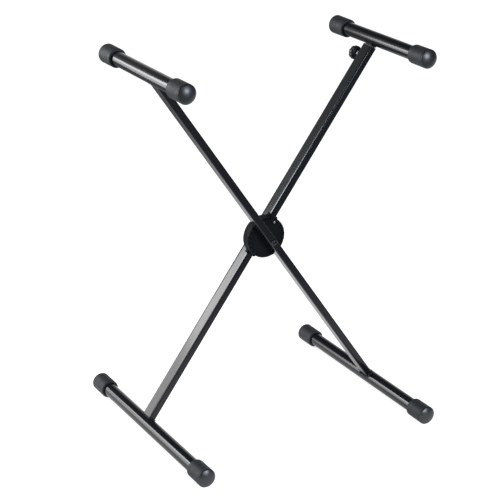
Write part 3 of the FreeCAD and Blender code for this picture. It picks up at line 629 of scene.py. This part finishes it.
# %% [markdown]
# ## Pivot bolt
# The legs turn on a button-head bolt. Its head is a low dome with a hexagon socket. The radius of a
# hexagon at an angle is half its width across flats over the cosine of the angle from the nearest flat,
# so the socket is rows of hexagons inside rows of circles. The thread at the other end is a ridge whose
# height depends on how far along and how far round a point is, which makes a true helix.

# %% Hexagons and threads
THREAD_DEPTH = 0.54  # share of the pitch
THREAD_ROWS = 10  # in one pitch


def hexagon(flats, columns):
    """Radius of a hexagon at evenly spaced angles."""
    angle = np.arange(columns) * 2 * np.pi / columns
    off_flat = (angle + np.pi / 6) % (np.pi / 3) - np.pi / 6
    return flats / 2 / np.cos(off_flat)


def thread(start, end, radius, pitch, columns):
    """Rows for a right-hand thread with rounded ridges that fade out at both ends."""
    along = np.linspace(start, end, int((end - start) / pitch * THREAD_ROWS))
    turn = np.arange(columns) / columns
    ridge = 0.5 + 0.5 * np.cos(2 * np.pi * (along[:, None] / pitch - turn))
    fade = np.clip(np.minimum(along - start, end - along) / (pitch / 2), 0, 1)[:, None]
    return list(zip(along, radius - THREAD_DEPTH * pitch * (1 - ridge) * fade))


# %% Bolt
SHANK, BOLT_PITCH = 4, 1.25
END_BREAK = 0.8
HEAD_RADIUS, HEAD_HEIGHT, HEAD_FLAT = 7, 4.4, 3.9
FACE_DEPTH, HEAD_DOME = 0.02, 3.3
SOCKET, SOCKET_DEPTH, SOCKET_ROUND, SOCKET_CHAMFER = 5, 2.6, 0.15, 0.35
SOCKET_TAPER, SOCKET_POINT = 0.92, 0.3
BOLT_COLUMNS = 48
THREAD_START, THREAD_RUN_IN = 38, 0.5
FACE_ROWS = ((0.05, 3.15), (0, 3.35), (FACE_DEPTH, HEAD_FLAT))  # depth behind the head's face, radius
RIM_ROWS = ((0.35, 0), (0.1, 0.1), (0, 0.4))  # before the head's underside, in from its rim
head_face, bolt_end = ends_of("pivot_bolt")
under_head = head_face + HEAD_HEIGHT
socket_end = head_face + SOCKET_DEPTH
socket = hexagon(SOCKET, BOLT_COLUMNS)
bolt = [(socket_end, SOCKET_POINT), (socket_end, SOCKET_TAPER * socket),
        (socket_end - SOCKET_ROUND, socket), (head_face + SOCKET_CHAMFER, socket)]
bolt += [(head_face + depth, radius) for depth, radius in FACE_ROWS]
bolt += [(head_face + FACE_DEPTH + HEAD_DOME * (1 - math.sqrt(1 - t * t)),
          HEAD_FLAT + (HEAD_RADIUS - HEAD_FLAT) * t) for t in np.linspace(0, 1, 9)[1:]]
bolt += [(under_head - before, HEAD_RADIUS - inwards) for before, inwards in RIM_ROWS]
bolt += [(under_head, SHANK), (THREAD_START, SHANK)]
bolt += thread(THREAD_START + THREAD_RUN_IN, bolt_end - END_BREAK, SHANK, BOLT_PITCH, BOLT_COLUMNS)
bolt += [(bolt_end, SHANK - END_BREAK)]
make_piece("pivot_bolt_black", turned(bolt, BOLT_COLUMNS) + ON_PIVOT, "front_leg", "black_steel",
           ("pivot_bolt",), finishes=(black_zinc,))

# %% [markdown]
# ## Washers, nuts and the stop pin
# A nut is a hexagon whose corners are turned off by a cone at both faces: at each place along it, the
# radius is the smaller of the hexagon's and the cone's. That gives the curved chamfer lines of a real nut.
# The lock nut also has a round collar that holds its nylon ring. The washers and the pin are plain
# turned pieces with broken edges.

# %% Nuts
NUT_FLATS, NUT_BORE, BORE_BREAK = 13, 4.06, 0.4
CONE_START, CONE_SLOPE, CONE_DEPTH = 0.97, 1.7, 0.9
COLLAR, COLLAR_BREAK = 1.8, 0.5
COLLAR_IN = (0.7, 0.9, 1.5)  # how far its three edges stand inside the flats


def nut_rows(front, back, collar):
    """Rows for a nut along Y, as a closed wall: outside from front to back, then the bore."""
    hexed = hexagon(NUT_FLATS, 96)
    half = NUT_FLATS / 2
    length = back - front - collar
    steps = np.linspace(0, CONE_DEPTH, 6)
    rows = [(front, NUT_BORE + BORE_BREAK)]
    for t in (*steps, *(length - steps[::-1])):
        cone = half * CONE_START + CONE_SLOPE * min(t, length - t)
        rows.append((front + t, np.minimum(hexed, cone)))
    if collar:
        places = (front + length, back - COLLAR_BREAK, back)
        rows += [(place, half - inwards) for place, inwards in zip(places, COLLAR_IN)]
        rows += [(back, NUT_BORE + 2 * BORE_BREAK)]
    else:
        rows += [(back, NUT_BORE + BORE_BREAK)]
    return rows + [(back - BORE_BREAK, NUT_BORE), (front + BORE_BREAK, NUT_BORE)]


CLAMP = middle_of("clamp_nut") * IN_XZ
lock_nut = turned(nut_rows(*ends_of("lock_nut"), COLLAR))
clamp_nut = turned(nut_rows(*ends_of("clamp_nut"), 0))
make_piece("lock_nut_zinc", lean(lock_nut, LEFT), "front_leg", "zinc_steel", ("lock_nut",),
           closed_rows=True)
make_piece("clamp_nut_zinc", lean(clamp_nut, RIGHT, CLAMP), "rear_leg", "zinc_steel", ("clamp_nut",),
           closed_rows=True)

# %% Washers and pin
WASHER_BORE, FLAT_RADIUS, SPRING_RADIUS, SPRING_THICK = 4.3, 9, 8.5, 1.2
WASHER_EDGE = 0.25
PIN_ROWS = ((0, 0.4), (0.06, 1.4), (0.3, 2.3), (0.8, 2.9), (1.1, 3))  # place from the pin's end, radius


def washer(front, back, outer, dish=0.0):
    """Closed profile of a washer with broken edges, its eye pushed back by the dish."""
    step = WASHER_EDGE / 5
    return [(front + dish, WASHER_BORE), (front + step, outer - WASHER_EDGE), (front + WASHER_EDGE, outer),
            (back - WASHER_EDGE, outer), (back - step, outer - WASHER_EDGE), (back + dish, WASHER_BORE)]


flat = turned(washer(*ends_of("flat_washer"), FLAT_RADIUS))
make_piece("flat_washer_zinc", flat + ON_PIVOT, "front_leg", "zinc_steel", ("flat_washer",),
           closed_rows=True)
spring_front, spring_back = ends_of("spring_washer")
spring = turned(washer(spring_front, spring_front + SPRING_THICK, SPRING_RADIUS,
                       spring_back - spring_front - SPRING_THICK))
make_piece("spring_washer_zinc", spring + ON_PIVOT, "front_leg", "zinc_steel", ("spring_washer",),
           closed_rows=True)
pin_front, pin_back = ends_of("stop_pin")
pin = turned([(pin_front + t, radius) for t, radius in PIN_ROWS] + [(pin_back, PIN_ROWS[-1][1])], 48)
make_piece("stop_pin_zinc", pin + middle_of("stop_pin") * IN_XZ, "front_leg", "zinc_steel", ("stop_pin",))

# %% [markdown]
# ## Clamp knob and its screw
# The knob's finger hollows are eight circles that bite into its rim. Seen from the axis, such a circle's
# near side lies at c cos(a) - sqrt(r^2 - c^2 sin(a)^2), where c is its distance and a the angle from it.
# The knob's radius is the smaller of that and the rim, times the rounding of its profile.

# %% The knob's rim
KNOB_RADIUS, HOLLOW, BITE, HOLLOWS = 15, 5, 0.9, 8
KNOB_COLUMNS = 192
angle = np.arange(KNOB_COLUMNS) * 2 * np.pi / KNOB_COLUMNS
off_hollow = (angle - np.pi / 2 + np.pi / HOLLOWS) % (2 * np.pi / HOLLOWS) - np.pi / HOLLOWS
distance = KNOB_RADIUS + HOLLOW - BITE
inside = HOLLOW ** 2 - (distance * np.sin(off_hollow)) ** 2
near_side = distance * np.cos(off_hollow) - np.sqrt(np.maximum(inside, 0))
rim = np.minimum(np.where(inside > 0, near_side, KNOB_RADIUS), KNOB_RADIUS)
rim = (np.roll(rim, 1) + rim + np.roll(rim, -1)) / 3
print("the knob's rim goes from", round(rim.min(), 2), "to", round(rim.max(), 2), "mm")

# %% Knob
KNOB_NECK, NECK_LENGTH, KNOB_BORE = 8, 5, 4.2
NECK_ROWS = ((0, -0.5), (0.5, 0), (NECK_LENGTH - 1, 0), (NECK_LENGTH - 0.3, 0.3), (NECK_LENGTH, 1))
FRONT_EDGE, BACK_EDGE = 1, 2.4
FACE_RISE, FACE_RADIUS = 0.5, 12.4
knob_front, knob_back = ends_of("clamp_knob")
neck_end = knob_front + NECK_LENGTH
face = knob_back - FACE_RISE
knob = [(knob_front, KNOB_BORE)]
knob += [(knob_front + t, KNOB_NECK + wider) for t, wider in NECK_ROWS]
knob += [(neck_end + FRONT_EDGE * (1 - math.cos(a)), rim * (1 - FRONT_EDGE * (1 - math.sin(a)) / KNOB_RADIUS))
         for a in np.radians(np.linspace(0, 90, 6))]
knob += [(face - BACK_EDGE * (1 - math.sin(a)), rim * (1 - BACK_EDGE * (1 - math.cos(a)) / KNOB_RADIUS))
         for a in np.radians(np.linspace(0, 90, 9))]
knob += [(face + FACE_RISE * (1 - r ** 2), r * FACE_RADIUS) for r in np.linspace(0.95, 0.04, 8)]
make_piece("clamp_knob_moulded", turned(knob, KNOB_COLUMNS) + CLAMP, "clamp_knob", "knob_plastic",
           ("clamp_knob",))

# %% Clamp screw
THREAD_END = 0.2
screw_front, screw_back = ends_of("clamp_screw")
screw = [(screw_front, SHANK - END_BREAK)]
screw += thread(screw_front + END_BREAK, screw_back - THREAD_END, SHANK, BOLT_PITCH, BOLT_COLUMNS)
screw += [(screw_back, SHANK)]
make_piece("clamp_screw_zinc", turned(screw, BOLT_COLUMNS) + CLAMP, "clamp_knob", "zinc_steel",
           ("clamp_screw",))

# %% [markdown]
# ## Light
# Black gloss paint is lit by what it mirrors. Three white panels stand in one plane behind the stand to its
# left, the upper one brightest. They give the crisp band along the round bars, and turn the lower half of
# the rear leg's left face pale while its upper half looks past them and stays dark. A lamp from the left
# shows the grain of the caps, and one from the front puts a soft bluish light on their domes. Behind the
# stand the white paper sweep goes up, and it fades towards the dark room in front, so the front faces stay
# black.

# %% Lamps
WHITE, PALE_BLUE, BLUE = (1, 1, 1), (0.86, 0.93, 1), (0.80, 0.89, 1)
LAMPS = (  # name, place, the point that it faces, width, height, watts, colour
    ("upper_left_panel", (-1.69, 2, 1.78), (-1.69, 0, 1.78), 0.62, 0.9, 24, PALE_BLUE),
    ("middle_left_panel", (-1.6, 2, 1.08), (-1.6, 0, 1.08), 0.71, 0.48, 7.5, WHITE),
    ("low_left_panel", (-2.05, 2, 0.43), (-2.05, 0, 0.43), 1.6, 0.8, 13, WHITE),
    ("left_lamp", (-2.6, -0.4, 1.2), (0, 0, 0.4), 1.2, 1.2, 22, WHITE),
    ("front_lamp", (0.6, -3, 1.35), (0, 0, 0.6), 1.1, 1.1, 50, BLUE))


def soft_box(name, place, aim, width, height, watts, colour):
    """A rectangular lamp at a place, turned to face a point."""
    data = bpy.data.lights.new(name, "AREA")
    data.shape = "RECTANGLE"
    data.size = width
    data.size_y = height
    data.energy = watts
    data.color = colour
    lamp = bpy.data.objects.new(name, data)
    turn = (Vector(aim) - Vector(place)).to_track_quat("-Z", "Y").to_matrix().to_4x4()
    lamp.matrix_world = Matrix.Translation(Vector(place)) @ turn
    bpy.context.scene.collection.objects.link(lamp)
    print(name, "gives", watts, "W")


for lamp in LAMPS:
    soft_box(*lamp)

# %% World
AMBIENT = 0.42
DARK_ROOM = 0.06
BEHIND = (-0.1, 0.5)
LOW_DOWN = (0.55, 0.15)
world = bpy.data.worlds.new("studio")
bpy.context.scene.world = world
world.use_nodes = True
tree = world.node_tree
path = tree.nodes.new("ShaderNodeLightPath").outputs
look = parts_of(tree, tree.nodes.new("ShaderNodeTexCoord").outputs["Generated"])
sweep = combine(tree, "MULTIPLY", ramp(tree, look["Y"], *BEHIND, 0, 1),
                ramp(tree, look["Z"], *LOW_DOWN, DARK_ROOM, 1))
mirrored = choose(tree, path["Is Glossy Ray"], AMBIENT, sweep)
background = tree.nodes["Background"]
background.inputs["Color"].default_value = (*WHITE, 1)
tree.links.new(choose(tree, path["Is Camera Ray"], mirrored, 1), background.inputs["Strength"])
print("the world has", len(tree.nodes), "nodes")

# %% [markdown]
# ## Floor
# The floor is white paper. Its own colour takes the stand's soft shadow, and a share of plain white is
# added for the eye and for mirrors, so that it meets the white backdrop without a line. For mirrors the
# paper carries a painted pool of light: its colour and glow are painted bright just behind the stand and
# fall off towards the room, which the front leg's left face mirrors as a fading strip.

# %% Floor
FLOOR = 4
floor_mesh = bpy.data.meshes.new("floor")
floor_mesh.from_pydata([(-FLOOR, -FLOOR, 0), (FLOOR, -FLOOR, 0), (FLOOR, FLOOR, 0), (-FLOOR, FLOOR, 0)],
                       [], [(0, 1, 2, 3)])
floor = add_object("floor", floor_mesh)
print("floor is", 2 * FLOOR, "m wide")

# %% White paper
PAPER, GLOW = 0.8, 0.74
FRONT_FALL = (-0.8, 0.15, 0.12, 1)
BACK_FALL = (0.5, 1.1, 0.85, 0.15)
paper = bpy.data.materials.new("white_paper")
paper.use_nodes = True
tree = paper.node_tree
shader = tree.nodes["Principled BSDF"]
shader.inputs["Roughness"].default_value = 1
shader.inputs["Specular IOR Level"].default_value = 0
shader.inputs["Emission Color"].default_value = (*WHITE, 1)
path = tree.nodes.new("ShaderNodeLightPath").outputs
depth = parts_of(tree, tree.nodes.new("ShaderNodeTexCoord").outputs["Object"])["Y"]
# Painted light: for glossy rays the paper's colour and glow are painted bright just behind the stand, darker
# in front of it and far behind it.
painted_mirror_light = combine(tree, "MULTIPLY", ramp(tree, depth, *FRONT_FALL), ramp(tree, depth, *BACK_FALL))
share = combine(tree, "MAXIMUM", painted_mirror_light, combine(tree, "SUBTRACT", 1, path["Is Glossy Ray"]))
grey = tree.nodes.new("ShaderNodeCombineColor")
for socket in grey.inputs:
    tree.links.new(combine(tree, "MULTIPLY", share, PAPER), socket)
tree.links.new(grey.outputs["Color"], shader.inputs["Base Color"])
seen = combine(tree, "MAXIMUM", path["Is Camera Ray"], path["Is Glossy Ray"])
seen = combine(tree, "MAXIMUM", seen, path["Is Transmission Ray"])
glow = combine(tree, "MULTIPLY", combine(tree, "MULTIPLY", share, GLOW), seen)
tree.links.new(glow, shader.inputs["Emission Strength"])
floor_mesh.materials.append(paper)
print("paper glows at", GLOW, "for the eye and for mirrors")
